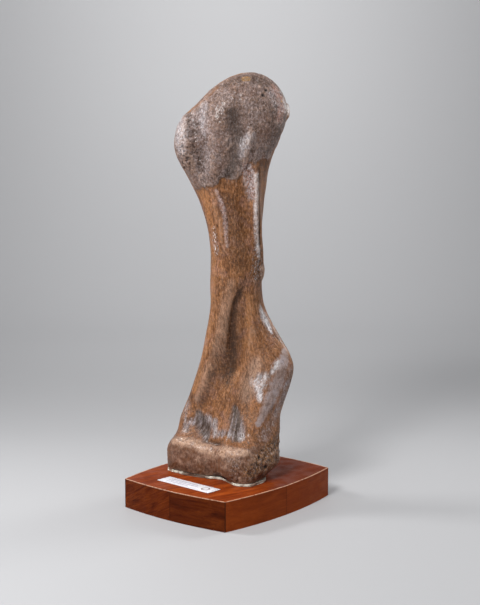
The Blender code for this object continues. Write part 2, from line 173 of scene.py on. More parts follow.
DARK_FRONT = ((0.040, -0.042, 0.700, 0.030), (0.052, -0.034, 0.640, 0.034), (0.056, -0.028, 0.560, 0.030))
DARK_FAN = (
    (-0.046, -0.044, 0.240, 0.024), (-0.026, -0.040, 0.272, 0.022), (-0.004, -0.034, 0.330, 0.020),
    (0.000, -0.036, 0.390, 0.014),
)
FLANGE_EDGE = (
    (0.070, 0.045, 0.462, 0.008), (0.088, 0.050, 0.416, 0.012), (0.109, 0.046, 0.384, 0.014),
    (0.128, 0.048, 0.360, 0.016),
)
FLANGE_BAND = (
    (0.128, 0.045, 0.360, 0.012), (0.136, 0.034, 0.337, 0.017), (0.134, 0.026, 0.316, 0.020),
    (0.128, 0.018, 0.286, 0.021), (0.119, 0.009, 0.256, 0.020), (0.110, -0.002, 0.228, 0.016),
    (0.102, -0.016, 0.200, 0.010),
)
BAND_PATCHES = (
    ((0.129, 0.024, 0.345, 0.006), (0.125, 0.017, 0.331, 0.009), (0.120, 0.010, 0.316, 0.006)),
    (
        (0.108, 0.001, 0.306, 0.012), (0.097, -0.003, 0.292, 0.022), (0.095, -0.005, 0.276, 0.019),
        (0.099, -0.005, 0.256, 0.010),
    ),
    ((0.098, -0.002, 0.306, 0.010), (0.084, -0.003, 0.290, 0.016), (0.090, -0.004, 0.276, 0.013)),
)
MEDIAL_FOSSA = (
    (-0.054, -0.043, 0.208, 0.014), (-0.046, -0.041, 0.192, 0.024), (-0.034, -0.043, 0.174, 0.024),
    (-0.026, -0.047, 0.160, 0.016),
)
LATERAL_FOSSA = (
    (0.044, -0.029, 0.232, 0.008), (0.050, -0.033, 0.208, 0.020), (0.056, -0.036, 0.188, 0.027),
    (0.062, -0.041, 0.170, 0.020),
)
FOSSA_SHADOW = ((-0.052, -0.043, 0.222, 0.010), (-0.033, -0.040, 0.219, 0.010))
OVER_JOINT = (
    (-0.070, -0.046, 0.186, 0.016), (-0.040, -0.041, 0.190, 0.026), (-0.006, -0.043, 0.192, 0.020),
    (0.000, -0.046, 0.168, 0.016), (0.050, -0.040, 0.176, 0.014),
)
MEDIAL_SLOPE = (
    (-0.086, -0.047, 0.232, 0.012), (-0.090, -0.050, 0.198, 0.018), (-0.082, -0.052, 0.168, 0.018),
)
LIP = (
    (-0.103, -0.073, 0.140, 0.010), (-0.072, -0.075, 0.145, 0.013), (-0.047, -0.068, 0.143, 0.014),
    (-0.021, -0.066, 0.136, 0.017), (0.009, -0.066, 0.134, 0.018), (0.053, -0.076, 0.140, 0.018),
    (0.083, -0.075, 0.142, 0.015), (0.102, -0.062, 0.142, 0.010),
)
LIP_CRACK = (
    (-0.112, -0.071, 0.144, 0.0018), (-0.091, -0.072, 0.149, 0.0024), (-0.070, -0.076, 0.143, 0.0018),
)
OUTER_SIDE = (
    (0.114, -0.058, 0.100, 0.026), (0.118, -0.030, 0.110, 0.036), (0.121, 0.000, 0.125, 0.040),
    (0.112, 0.040, 0.140, 0.040),
)
PITTED_CORNER = ((0.069, -0.083, 0.130, 0.016), (0.088, -0.079, 0.120, 0.022), (0.086, -0.080, 0.085, 0.022))
SIDE_HOLES = ((0.118, -0.030, 0.128, 0.006), (0.121, -0.012, 0.104, 0.006), (0.117, -0.018, 0.142, 0.005))

# Marks on the bone that strokes alone draw: for each, the weights and the paths of its strokes
STROKES = {
    "lobe": ((1.0, LOBE_FACE),),
    "band": ((1.0, FLANGE_BAND), (0.62, FLANGE_SIDE)),
    "holes": ((1.0, LOBE_HOLES), (0.8, LOBE_BORDER)),
    "fossa": ((1.0, MEDIAL_FOSSA), (1.0, LATERAL_FOSSA)),
    # The silver mark is painted sheen: grey-white streaks over the joint and down the slope beside it
    "silver": ((1.0, OVER_JOINT), (0.72, MEDIAL_SLOPE), (1.0, JOINT_GLINT), (1.0, FOSSA_GLINT)),
    # Where specks lie: the pale ones are painted glints, the dark ones pits
    "glint": (
        (0.5, SIDE_CREST), (1.0, FRONT_MARGIN), (0.5, TROUGH), (0.35, LOBE), (1.0, RIM_GLINT),
        (0.3, PITTED_CORNER), (0.7, ROUGH_MARGIN), (0.25, MEDIAL_SLOPE), (0.5, FOSSA_GLINT),
        (0.35, OUTER_SIDE), (0.35, FLANGE_SIDE),
    ),
    "warm": ((1.0, WARM_MARGIN), (0.5, HEAD_RIM), (0.8, TROUGH_SIDE), (0.7, FLANGE_FACE)),
    "yellow": ((1.0, YELLOW_SPOT),),
    "amber": ((1.0, OUTER_SIDE),),
    # The lip's light tan is partly its own colour and partly painted highlight along its top and on the bank
    # left of the groove
    "lip": ((1.0, LIP), (1.0, CREST_KNOB), (0.60, TAN_FACE), (0.40, GROOVE_BANK)),
    "rose": ((1.0, TROUGH), (1.2, RIGHT_RIM), (0.8, PALE_RIDGE)),
    "valley": ((1.0, PLATE_VALLEY),),
    # Pale lilac: painted sheen on the plate, its rim and the flange streak, with the pale ridge's own colour
    "pale": (
        (1.0, PLATE_SHEEN), (0.35, PLATE_LEFT), (0.8, PLATE_GLINT), (0.7, RIM_GLINT), (0.35, PALE_RIDGE),
        (1.0, FLANGE_STREAK),
    ),
    # Painted highlights: white glints, streaks and patches on the crest, flange, spur tip, plate, lobe,
    # trough and over the joint
    "painted_highlight": (
        (0.15, FRONT_MARGIN), (1.6, FLANGE_STREAK), (0.5, PLATE_SHEEN), (1.3, SIDE_CREST),
        (1.0, SPUR_TIP), (0.7, PLATE_GLINT), (0.55, LOBE_FACE), (0.48, TROUGH), (0.2, MEDIAL_SLOPE),
        (0.9, JOINT_GLINT), (0.8, FOSSA_GLINT),
        *[(1.15, patch) for patch in BAND_PATCHES],
    ),
    # Dark stains, with painted shade in the fossa, the plate's middle, under the spur, beside the groove and
    # in the crease behind the crest
    "stain_and_shade": (
        (0.8, TOP_EDGE), (0.3, FOSSA_SHADOW), (0.7, DARK_FRONT), (0.7, DARK_FAN), (0.5, PLATE_SHADE),
        (0.7, SPUR), (0.6, PITTED_CORNER), (0.5, OUTER_SIDE), (0.95, GROOVE_SHADE), (0.9, BEHIND_CREST),
    ),
    "black": ((0.6, LIP_CRACK),),
    "gloss": (
        (1.0, LOBE_FACE), (1.0, PLATE_GLINT), (1.0, SIDE_CREST), (1.0, FLANGE_STREAK), (0.5, FLANGE_EDGE),
        (1.0, MEDIAL_SLOPE), (1.0, TROUGH), (1.0, OVER_JOINT), (0.7, LIP), (0.8, FLANGE_BAND),
        *[(1.0, patch) for patch in BAND_PATCHES],
    ),
}

# How far the bone is raised along each path, or lowered if less than 0
SWELLS = (
    (0.0036, PLATE_SWELL), (0.0052, PLATE_RIDGE), (-0.0056, PLATE_VALLEY), (-0.0050, LOBE_BORDER),
    (0.0016, PALE_RIDGE), (0.0045, CREST_KNOB), (0.0026, SIDE_CREST), (-0.0022, TROUGH),
    (-0.0018, BEHIND_CREST), (0.0060, SPUR), (0.0024, FLANGE_SWELL), (0.0024, LIP),
    (-0.0020, MEDIAL_FOSSA), (-0.0024, LATERAL_FOSSA), (0.0016, FLANGE_EDGE),
)
BANK_RISE = 0.0032
FOLD_DEPTH = 0.0050
CRACK_DEPTH = 0.0012
PIT_DEPTH = 0.0040
HOLE_DEPTH = 0.0026
CORNER_PIT_DEPTH = 0.0016

# Heights between which a mark comes in: where it is still 0, and where it is full
HEAD_FADE = (0.770, 0.830)
FOOT_FADE = (0.160, 0.140)
UNDERSIDE_FADE = (0.108, 0.076)
STRANDS_TOP = (0.560, 0.470)
STRANDS_FOOT = (0.170, 0.240)
FOLD_TOP = (0.532, 0.470)
FOLD_SHADE_TOP = (0.532, 0.480)
FOLD_FOOT = (0.240, 0.320)

# Tones of the bone: places along a pattern, and the colours there
SHAFT_TONES = ((0.32, "shaft_dark"), (0.45, "shaft_middle"), (0.58, "shaft_light"), (0.72, "lip_tan"))
PLATE_TONES = ((0.36, "plate_dark"), (0.45, "plate_middle"), (0.54, "band_grey"), (0.66, "plate_light"))

# Coats laid over the shaft in turn: the mark, the pattern that breaks up its edge, how deeply and between
# which shares, the pattern that its tones follow, and the tones
MARGIN_COATS = (
    (
        "warm", "blotches", (0.9, 0.30, 0.70),
        "shaft", ((0.36, "shaft_middle"), (0.48, "shaft_light"), (0.64, "head_tan")),
    ),
)
END_COATS = (
    (
        "foot", "mottle", (0.7, 0.30, 0.70),
        "mottle", ((0.34, "shaft_middle"), (0.50, "foot_brown"), (0.70, "lip_tan")),
    ),
    (
        "head", "speckle", (0.7, 0.30, 0.70),
        "mottle", ((0.36, "shaft_middle"), (0.54, "head_tan"), (0.72, "lip_tan")),
    ),
    # Painted sheen: grey-white streaks over the joint
    (
        "silver", "silver", (1.6, 0.35, 1.05),
        "silver", ((0.40, "fossa_grey"), (0.50, "band_grey"), (0.58, "lobe_lilac"), (0.66, "painted_highlight")),
    ),
)
PATCH_COATS = (
    (
        "lobe", "fibres", (0.9, 0.30, 0.70),
        "fibres", ((0.34, "plate_middle"), (0.50, "lobe_lilac"), (0.72, "plate_light")),
    ),
    # Light tan of the lip, partly painted highlight
    (
        "lip", "blotches", (0.7, 0.02, 0.85),
        "mottle", ((0.34, "foot_brown"), (0.52, "lip_tan"), (0.70, "head_tan")),
    ),
    (
        "amber", "mottle", (0.9, 0.25, 0.85),
        "fibres", ((0.40, "shaft_dark"), (0.47, "shaft_middle"), (0.56, "amber"), (0.66, "lip_tan")),
    ),
    (
        "band", "plate_edge", (1.7, 0.22, 0.92),
        "mottle", ((0.34, "plate_middle"), (0.50, "band_grey"), (0.66, "lobe_lilac")),
    ),
    (
        "fossa", "streaks", (0.8, 0.10, 1.0),
        "silver", ((0.34, "plate_dark"), (0.50, "fossa_grey"), (0.62, "lobe_lilac")),
    ),
    (
        "rose", "fibres", (1.0, 0.30, 0.90),
        "fibres", ((0.36, "shaft_middle"), (0.47, "rose"), (0.62, "plate_light")),
    ),
)

# Fine layers over the coats: where, the pattern, its range, the strength at each end of it, and the colour
GRAIN_LAYERS = (
    ("strands", "strands", 0.34, 0.50, 0.45, 0.0, "shaft_dark"),
    ("strands", "strands", 0.52, 0.66, 0.0, 0.22, "lip_tan"),
    ("worn", "hairs", 0.38, 0.58, 0.45, 0.0, "shaft_dark"),
    ("worn", "speckle", 0.34, 0.52, 0.40, 0.0, "shaft_dark"),
    ("worn", "speckle", 0.54, 0.72, 0.0, 0.30, "lip_tan"),
    ("worn", "fine", 0.36, 0.50, 0.35, 0.0, "shaft_dark"),
    # The basin and hollow rows paint shade and grime into hollows, and the last one makes ridges paler
    ("everywhere", "basin", 0.05, 1.2, 0.0, 0.50, "shaft_dark"),
    ("everywhere", "hollow", 0.2, 1.8, 0.0, 0.45, "shaft_dark"),
    ("everywhere", "hollow", -0.2, -1.5, 0.0, 0.25, "lip_tan"),
    ("worn", "pores", 0.06, 0.24, 0.60, 0.0, "shaft_dark"),
)
# Specks where the glint mark lies: dark pits, and pale specks that are painted glints
SPECK_LAYERS = (
    ("glint", "specks", 0.34, 0.46, 0.75, 0.0, "shaft_dark"),
    ("glint", "specks", 0.54, 0.64, 0.0, 0.75, "painted_highlight"),
)
PIT_BLACK = (0.012, 0.008, 0.006)
BONE_SPECULAR = 0.30
BONE_COAT = 0.18
BONE_COAT_ROUGHNESS = 0.18

# Hollows by how wide they are: how many rounds of neighbours they are told by, and the depth that counts as 1
HOLLOWS = {"hollow": (5, 0.0005), "basin": (60, 0.0040)}


def colour_choice(name, description, *rgb):
    return bpy.props.FloatVectorProperty(name=name, description=description, default=rgb, subtype="COLOR")


def length_choice(name, description, default):
    return bpy.props.FloatProperty(name=name, description=description, default=default, unit="LENGTH")


class BoneLook(bpy.types.PropertyGroup):
    """Mesh and colours of the fossil bone"""

    spacing: length_choice("Mesh spacing", "Size of the bone's mesh faces", 0.00285)
    crust: length_choice("Crust height", "How far the worn plate stands proud", 0.0010)
    shaft_light: colour_choice("Shaft, light", "Light streaks of the shaft", 0.385, 0.16, 0.056)
    shaft_middle: colour_choice("Shaft", "Main brown of the shaft", 0.198, 0.076, 0.026)
    shaft_dark: colour_choice("Shaft, dark", "Dark streaks and stains", 0.040, 0.017, 0.008)
    plate_light: colour_choice("Plate, light", "Pale specks of the plate", 0.56, 0.44, 0.42)
    plate_middle: colour_choice("Plate", "Main taupe of the worn plate", 0.178, 0.108, 0.084)
    plate_dark: colour_choice("Plate, dark", "Dark specks of the plate", 0.050, 0.033, 0.024)
    head_tan: colour_choice("Head", "Smooth joint surface", 0.32, 0.155, 0.070)
    band_grey: colour_choice("Band", "Grey of worn bone", 0.34, 0.25, 0.225)
    fossa_grey: colour_choice("Fossae", "Grey of the hollows over the joint", 0.130, 0.100, 0.088)
    lobe_lilac: colour_choice("Lobe", "Lilac grey of the smooth lobe", 0.40, 0.34, 0.35)
    foot_brown: colour_choice("Foot", "Brown of the joint's lower end", 0.168, 0.074, 0.042)
    amber: colour_choice("Amber", "Amber of the rough outer side", 0.40, 0.185, 0.055)
    yellow: colour_choice("Yellow", "Bared yellow spot on the crown", 0.64, 0.33, 0.085)
    lip_tan: colour_choice("Lip", "Light tan lip over the joint", 0.52, 0.325, 0.225)
    rose: colour_choice("Rose", "Rosy bared bone", 0.46, 0.24, 0.185)
    # Colour of the painted highlights: white glints, streaks and patches
    painted_highlight: colour_choice("Chalk", "Chalky white specks", 0.71, 0.67, 0.68)


class PlinthLook(bpy.types.PropertyGroup):
    """Colours of the varnished plinth"""

    top_light: colour_choice("Top, light", "Light grain of the top", 0.36, 0.072, 0.011)
    top_dark: colour_choice("Top, dark", "Dark grain of the top", 0.20, 0.031, 0.005)
    # Colour of the painted highlight along the facings' top edges
    edge_highlight: colour_choice("Worn edge", "Bared wood along the edges", 0.62, 0.36, 0.24)


class BeddingLook(bpy.types.PropertyGroup):
    """Shape and colour of the putty bedding"""

    spacing: length_choice("Mesh spacing", "Size of the putty's mesh faces", 0.0013)
    rise: length_choice("Rise", "How far the putty rises against the bone", 0.0022)
    colour: colour_choice("Putty", "Colour of the set putty", 0.76, 0.72, 0.62)


class LabelLook(bpy.types.PropertyGroup):
    """Colours of the label card"""

    card: colour_choice("Card", "Colour of the card", 0.84, 0.83, 0.87)
    ink: colour_choice("Ink", "Colour of the ruled lines", 0.24, 0.20, 0.36)


class StageLook(bpy.types.PropertyGroup):
    """Floor and camera"""

    floor: colour_choice("Floor", "Colour of the floor", 0.46, 0.46, 0.47)
    lens: bpy.props.FloatProperty(
        name="Lens", description="Focal length of the camera, in millimetres", default=73.96
    )


def deselect():
    bpy.ops.object.select_all(action="DESELECT")


def make_active(piece):
    deselect()
    piece.select_set(True)
    bpy.context.view_layer.objects.active = piece


def copy_of_node(node, name):
    """A new piece with the node's mesh, its doubled points merged and its triangles paired."""
    piece = bpy.data.objects.new(name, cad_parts[node].data.copy())
    bpy.context.scene.collection.objects.link(piece)
    piece.data.materials.clear()
    make_active(piece)
    bpy.ops.mesh.customdata_custom_splitnormals_clear()
    bpy.ops.object.mode_set(mode="EDIT")
    bpy.ops.mesh.select_all(action="SELECT")
    bpy.ops.mesh.remove_doubles(threshold=MERGE_DISTANCE)
    bpy.ops.mesh.tris_convert_to_quads()
    bpy.ops.object.mode_set(mode="OBJECT")
    return piece


def apply_modifier(piece, kind, **settings):
    make_active(piece)
    modifier = piece.modifiers.new(kind.title(), kind)
    for key, value in settings.items():
        setattr(modifier, key, value)
    bpy.ops.object.modifier_apply(modifier=modifier.name)


def hand_over(piece, node):
    """The finished piece takes the node's place on the one body."""
    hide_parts(node)
    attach(piece, "root")


def points_of(mesh):
    points = np.zeros(len(mesh.vertices) * 3)
    mesh.vertices.foreach_get("co", points)
    return points.reshape(-1, 3)


def normals_of(mesh):
    normals = np.zeros(len(mesh.vertices) * 3)
    mesh.vertex_normals.foreach_get("vector", normals)
    return normals.reshape(-1, 3)


def set_points(mesh, points):
    mesh.vertices.foreach_set("co", points.ravel())
    mesh.update()


def set_attribute(mesh, name, values):
    attribute = mesh.attributes.new(name, "FLOAT", "POINT")
    attribute.data.foreach_set("value", np.asarray(values, np.float32))


def eased(low, high, values):
    """0 at the low value and 1 at the high one, with a smooth change between."""
    share = np.clip((values - low) / (high - low), 0, 1)
    return share * share * (3 - 2 * share)


def stroke(points, path):
    """1 along a path whose rows are x, y, z and reach, easing to 0 a little beyond that reach."""
    path = np.array(path, float)
    nearest = np.full(len(points), np.inf)
    for start, end in zip(path, path[1:]):
        along = end[:3] - start[:3]
        share = np.clip((points - start[:3]) @ along / (along @ along), 0, 1)
        gap = np.linalg.norm(points - start[:3] - share[:, None] * along, axis=1)
        nearest = np.minimum(nearest, gap / (start[3] + share * (end[3] - start[3])))
    return eased(1.4, 0.1, nearest)


def dot(points, path):
    """1 in the middle of each place of the path by itself, 0 beyond its reach."""
    found = np.zeros(len(points))
    for x, y, z, reach in path:
        found = np.maximum(found, eased(1.0, 0.2, np.linalg.norm(points - (x, y, z), axis=1) / reach))
    return found


def lumps(points, size, octaves=3, seed=0.0, drawn_out=1.0):
    """Smooth noise of about -1 to 1, with lumps of this size, drawn out along the bone."""
    places = points / (size, size, size * drawn_out) + seed
    return np.array([noise.fractal(Vector(place), 1.0, 2.0, octaves) for place in places])


def along_spine(points):
    """The middle line's x and y at each point's height."""
    heights, xs, ys = np.array(SPINE).T
    return np.stack([np.interp(points[:, 2], heights, xs), np.interp(points[:, 2], heights, ys)], 1)


def flow_places(points):
    """Each point moved to a cylinder, so that grain drawn on it follows the bone's length."""
    offset = points[:, :2] - along_spine(points)
    offset *= FLOW_RADIUS / np.maximum(np.linalg.norm(offset, axis=1), 1e-6)[:, None]
    return np.column_stack([offset, points[:, 2]])


def hollowness(mesh, points, normals, rounds):
    """Above zero in hollows and below it on ridges, from the points some rounds of neighbours away."""
    edges = np.zeros(len(mesh.edges) * 2, int)
    mesh.edges.foreach_get("vertices", edges)
    first, second = edges.reshape(-1, 2).T
    count = np.bincount(edges, minlength=len(points)).astype(float)

    def around(values):
        total = np.bincount(first, values[second], len(points))
        return (total + np.bincount(second, values[first], len(points))) / count

    smooth = points
    for _ in range(rounds):
        smooth = np.stack([around(column) for column in smooth.T], 1)
    return ((smooth - points) * normals).sum(axis=1)


def strongest(points, rows):
    """The strongest of some strokes at each point, each row a weight and a path."""
    return np.maximum.reduce([weight * stroke(points, path) for weight, path in rows])


def plate_share(points, normals, ragged):
    """1 on the worn plate, down to its ragged lower edge, and 0 where the bone turns away from its front."""
    along, facing = points @ PLATE_ALONG, normals @ PLATE_FACING
    edge_places, edge_heights = np.array(PLATE_EDGE).T
    over = points[:, 2] - np.interp(along, edge_places, edge_heights)
    over += 0.013 * ragged + 0.004 * lumps(points, 0.007, 2, 4.0)
    front = np.maximum(eased(0.08, 0.45, facing + 0.14 * ragged), stroke(points, LOBE))
    return eased(-0.012, 0.013, over) * front * (1 - 0.55 * stroke(points, HEAD_RIM))


def bone_marks(points, normals):
    """Where each kind of surface lies on the bone, as shares from 0 to 1 or a little over."""
    height = points[:, 2]
    ragged = lumps(points, 0.020, 4, 3.0)
    plate = plate_share(points, normals, ragged)
    fold = stroke(points, SPIRAL_GROOVE)
    marks = {name: strongest(points, rows) for name, rows in STROKES.items()}
    marks["plate"] = plate
    marks["head"] = eased(*HEAD_FADE, height + 0.012 * ragged) * (1 - plate)
    marks["foot"] = eased(*FOOT_FADE, height + 0.006 * ragged)
    marks["holes"] *= eased(0.14, 0.40, lumps(points, 0.008, 3, 12.0))
    marks["glint"] = np.maximum(marks["glint"], 0.12 * plate + 0.16 * stroke(points, PLATE_LEFT))
    marks["strands"] = eased(*STRANDS_TOP, height) * eased(*STRANDS_FOOT, height)
    marks["strands"] *= (1 - stroke(points, FLANGE_BAND)) * (1 - 0.8 * fold)
    marks["yellow"] = np.maximum(marks["yellow"], 0.8 * dot(points, RIM_SPOT))
    marks["black"] = np.maximum.reduce([marks["black"], dot(points, RIM_PITS), dot(points, SIDE_HOLES)])
    # Painted shade: darker down the spiral groove and under the foot
    fold_shade = 1.3 * fold * eased(*FOLD_SHADE_TOP, height) * eased(*FOLD_FOOT, height)
    underside_shade = 0.8 * eased(*UNDERSIDE_FADE, height + 0.006 * ragged)
    plate_rim = 2.2 * plate * (1 - plate)
    marks["stain_and_shade"] = np.maximum.reduce([marks["stain_and_shade"], fold_shade, underside_shade, plate_rim])
    return marks


def carved(points):
    """The broader swells and hollows of the bone's front, as how far each point moves along its normal."""
    moved = sum(rise * stroke(points, path) for rise, path in SWELLS)
    fold = stroke(points, SPIRAL_GROOVE) * eased(*FOLD_FOOT, points[:, 2])
    moved += (BANK_RISE * stroke(points, GROOVE_BANK) - FOLD_DEPTH * fold) * eased(*FOLD_TOP, points[:, 2])
    return moved


def weathered(points, normals, marks, crust):
    """How far each point of the bone moves along its normal."""
    plate, outer = marks["plate"], marks["amber"]
    flow = flow_places(points)
    shaft = (1 - plate) * eased(0.140, 0.180, points[:, 2])
    ends = 1 - eased(0.160, 0.200, points[:, 2]) * eased(0.790, 0.740, points[:, 2])
    corner = stroke(points, PITTED_CORNER) * eased(0.10, 0.34, lumps(points, 0.009, 3, 15.0))
    moved = carved(points)
    moved += 0.0010 * lumps(points, 0.034, 3, 11.0) * (0.5 + ends)
    moved += 0.0005 * lumps(flow, 0.008, 3, 5.0, 8.0) * shaft * (1 - 0.7 * marks["head"])
    moved += plate * (crust + 0.0012 * lumps(points, 0.014, 4, 1.0) + 0.0004 * lumps(points, 0.006, 2, 2.0))
    moved += 0.0030 * outer * lumps(points, 0.015, 3, 7.0)
    moved += 0.0008 * lumps(points, 0.009, 3, 9.0) * marks["foot"]
    moved += 0.0014 * stroke(points, SIDE_CREST) * (0.5 + lumps(points, 0.009, 2, 4.0))
    moved += 0.0024 * stroke(points, ROUGH_MARGIN) * lumps(points, 0.008, 2, 8.0)
    moved -= CRACK_DEPTH * stroke(points, LIP_CRACK)
    moved -= PIT_DEPTH * (dot(points, RIM_PITS) + dot(points, SIDE_HOLES))
    moved -= HOLE_DEPTH * marks["holes"] + CORNER_PIT_DEPTH * corner
    return moved


class FOSSIL_OT_dress_bone(bpy.types.Operator):
    """Model the weathered surface of the fossil bone and give it its finish"""

    bl_idname = "fossil.dress_bone"
    bl_label = "Dress the bone"

    def execute(self, context):
        look = context.scene.bone_look
        bone = copy_of_node("humerus", "bone")
        apply_modifier(bone, "SUBSURF", levels=2, render_levels=2)
        bone.data.remesh_voxel_size = look.spacing
        make_active(bone)
        bpy.ops.object.voxel_remesh()
        apply_modifier(bone, "SMOOTH", factor=0.5, iterations=3)
        mesh = bone.data
        points, normals = points_of(mesh), normals_of(mesh)
        marks = bone_marks(points, normals)
        points += normals * weathered(points, normals, marks, look.crust)[:, None]
        points[:, 2] = np.clip(points[:, 2], BONE_FOOT, BONE_CROWN - CROWN_CLEARANCE)
        set_points(mesh, points)
        for name, values in marks.items():
            set_attribute(mesh, name, values)
        normals = normals_of(mesh)
        for name, (rounds, depth) in HOLLOWS.items():
            set_attribute(mesh, name, hollowness(mesh, points, normals, rounds) / depth)
        flow = mesh.attributes.new("flow", "FLOAT_VECTOR", "POINT")
        flow.data.foreach_set("vector", flow_places(points).astype(np.float32).ravel())
        bpy.ops.object.shade_smooth()
        mesh.materials.append(bone_finish(look))
        hand_over(bone, "humerus")
        return {"FINISHED"}


def new_finish(name):
    finish = bpy.data.materials.new(name)
    finish.use_nodes = True
    return finish


def shader_of(finish):
    return finish.node_tree.nodes["Principled BSDF"]


def add(finish, kind, settings=(), **inputs):
    """A new shader node. Each input is a value or a node's output, with _ for a space in its name."""
    made = finish.node_tree.nodes.new(kind)
    for key, value in dict(settings).items():
        setattr(made, key, value)
    for key, value in inputs.items():
        join(finish, value, made.inputs[key.replace("_", " ")])
    return made


def join(finish, value, socket):
    if isinstance(value, bpy.types.NodeSocket):
        finish.node_tree.links.new(value, socket)
    else:
        socket.default_value = value


def coloured(rgb):
    return (*rgb, 1.0)


def places(finish, stretch=(1, 1, 1), turn=0.0, shift=(0, 0, 0)):
    """Object coordinates, squeezed by the stretch so that a pattern is drawn out by it."""
    object_places = add(finish, "ShaderNodeTexCoord").outputs["Object"]
    return mapped(finish, object_places, stretch, turn, shift)


def mapped(finish, vector, stretch=(1, 1, 1), turn=0.0, shift=(0, 0, 0)):
    scale = [1 / number for number in stretch]
    mapping = add(finish, "ShaderNodeMapping", Vector=vector, Scale=scale, Location=shift)
    mapping.inputs["Rotation"].default_value = (0, 0, turn)
    return mapping.outputs["Vector"]


def mark(finish, name):
    return add(finish, "ShaderNodeAttribute", {"attribute_name": name}).outputs["Fac"]


def grain(finish, vector, size, detail=4.0, rough=0.55, warp=0.0):
    made = add(finish, "ShaderNodeTexNoise", Vector=vector, Scale=1 / size, Detail=detail, Roughness=rough)
    made.inputs["Distortion"].default_value = warp
    return made.outputs["Fac"]


def cells(finish, vector, size):
    return add(finish, "ShaderNodeTexVoronoi", Vector=vector, Scale=1 / size).outputs["Distance"]


def maths(finish, operation, first, second=0.0, third=0.0):
    made = finish.node_tree.nodes.new("ShaderNodeMath")
    made.operation = operation
    for value, socket in zip((first, second, third), made.inputs):
        join(finish, value, socket)
    return made.outputs["Value"]


def ramped(finish, value, low, high, start=0.0, end=1.0):
    """The value brought from low-high to start-end, held at the ends."""
    made = add(finish, "ShaderNodeMapRange", {"interpolation_type": "SMOOTHSTEP"}, Value=value)
    for key, number in {"From Min": low, "From Max": high, "To Min": start, "To Max": end}.items():
        made.inputs[key].default_value = number
    return made.outputs["Result"]


def blended(finish, share, first, second, mode="MIX"):
    """The first colour, turning to the second with the share."""
    made = finish.node_tree.nodes.new("ShaderNodeMix")
    made.data_type = "RGBA"
    made.blend_type = mode
    join(finish, share, made.inputs["Factor"])
    colour_inputs = [socket for socket in made.inputs if socket.type == "RGBA"]
    for value, socket in zip((first, second), colour_inputs):
        join(finish, value if isinstance(value, bpy.types.NodeSocket) else coloured(value), socket)
    return next(socket for socket in made.outputs if socket.type == "RGBA")


def tones(finish, value, *stops):
    """A run of colours along the value, each stop its place and colour."""
    made = add(finish, "ShaderNodeValToRGB", Fac=value)
    run = made.color_ramp.elements
    while len(run) < len(stops):
        run.new(0.5)
    for element, (place, rgb) in zip(run, stops):
        element.position = place
        element.color = coloured(rgb)
    return made.outputs["Color"]


def times(finish, first, second):
    return maths(finish, "MULTIPLY", first, second)


def weighted(finish, *rows):
    """The sum of some values, each row a weight and a value."""
    total = 0.0
    for weight, value in rows:
        total = maths(finish, "MULTIPLY_ADD", value, weight, total)
    return total


def dimmed(rgb, factor):
    return [factor * channel for channel in rgb]


def share(finish, name, texture, depth=0.7, low=0.30, high=0.70):
    """A mark's share of the colour, its edge broken up by the texture."""
    ragged = maths(finish, "MULTIPLY_ADD", texture, depth, -0.5 * depth)
    return ramped(finish, maths(finish, "ADD", mark(finish, name), ragged), low, high)


def lacquer(finish, specular, coat, coat_roughness):
    shader = shader_of(finish)
    shader.inputs["Specular IOR Level"].default_value = specular
    shader.inputs["Coat Weight"].default_value = coat
    shader.inputs["Coat Roughness"].default_value = coat_roughness


def surfaced(finish, colour, roughness, relief):
    """The finish with its colour, its roughness and its fine relief, a height in metres, joined up."""
    shader = shader_of(finish)
    bump = add(finish, "ShaderNodeBump", Height=relief, Distance=1.0, Strength=1.0)
    join(finish, colour, shader.inputs["Base Color"])
    join(finish, roughness, shader.inputs["Roughness"])
    join(finish, bump.outputs["Normal"], shader.inputs["Normal"])
    return finish


def bone_patterns(finish):
    """The textures and surface values that the bone's colours, gloss and relief are drawn from, by name."""
    here = places(finish)
    flow = add(finish, "ShaderNodeAttribute", {"attribute_name": "flow"}).outputs["Vector"]

    def along_bone(stretch):
        return mapped(finish, flow, (1, 1, stretch))

    def upright(stretch):
        return mapped(finish, here, (1, 1, stretch))

    patterns = {
        "streaks": grain(finish, along_bone(3.2), 0.0052, 5, 0.62, 0.3),
        "hairs": grain(finish, along_bone(2.5), 0.0026, 3, 0.60),
        "strands": grain(finish, along_bone(7), 0.0046, 4, 0.62, 0.3),
        "silver": grain(finish, along_bone(8), 0.0060, 6, 0.66, 0.2),
        "pores": cells(finish, along_bone(2.4), 0.0030),
        "specks": grain(finish, upright(1.3), 0.0034, 2, 0.60),
        "blotches": grain(finish, upright(1.6), 0.034, 8, 0.70, 0.4),
        "speckle": grain(finish, upright(2), 0.0040, 3, 0.62),
        "broad": grain(finish, upright(1.5), 0.070, 4, 0.6, 0.6),
        "fine": grain(finish, here, 0.0024, 3, 0.62),
        "fibres": grain(finish, here, 0.0052, 4, 0.68, 1.0),
        "mottle": grain(finish, here, 0.028, 9, 0.72),
        "basin": mark(finish, "basin"),
        "hollow": mark(finish, "hollow"),
    }
    streaks, blotches, speckle = patterns["streaks"], patterns["blotches"], patterns["speckle"]
    fibres, mottle = patterns["fibres"], patterns["mottle"]
    patterns["shaft"] = weighted(finish, (0.22, streaks), (0.50, blotches), (0.28, speckle))
    patterns["plate"] = weighted(finish, (0.38, mottle), (0.62, fibres))
    patterns["plate_edge"] = weighted(finish, (0.5, mottle), (0.5, speckle))
    return patterns


def toned(finish, look, pattern, stops):
    """Tones along a pattern, its stops given as places and names of the look's colours."""
    return tones(finish, pattern, *[(place, getattr(look, key)) for place, key in stops])


def coated(finish, look, patterns, colour, coats):
    """The colour with each coat laid over it in turn, where the coat's mark is."""
    for name, edge, (depth, low, high), pattern, stops in coats:
        coat = toned(finish, look, patterns[pattern], stops)
        colour = blended(finish, share(finish, name, patterns[edge], depth, low, high), colour, coat)
    return colour


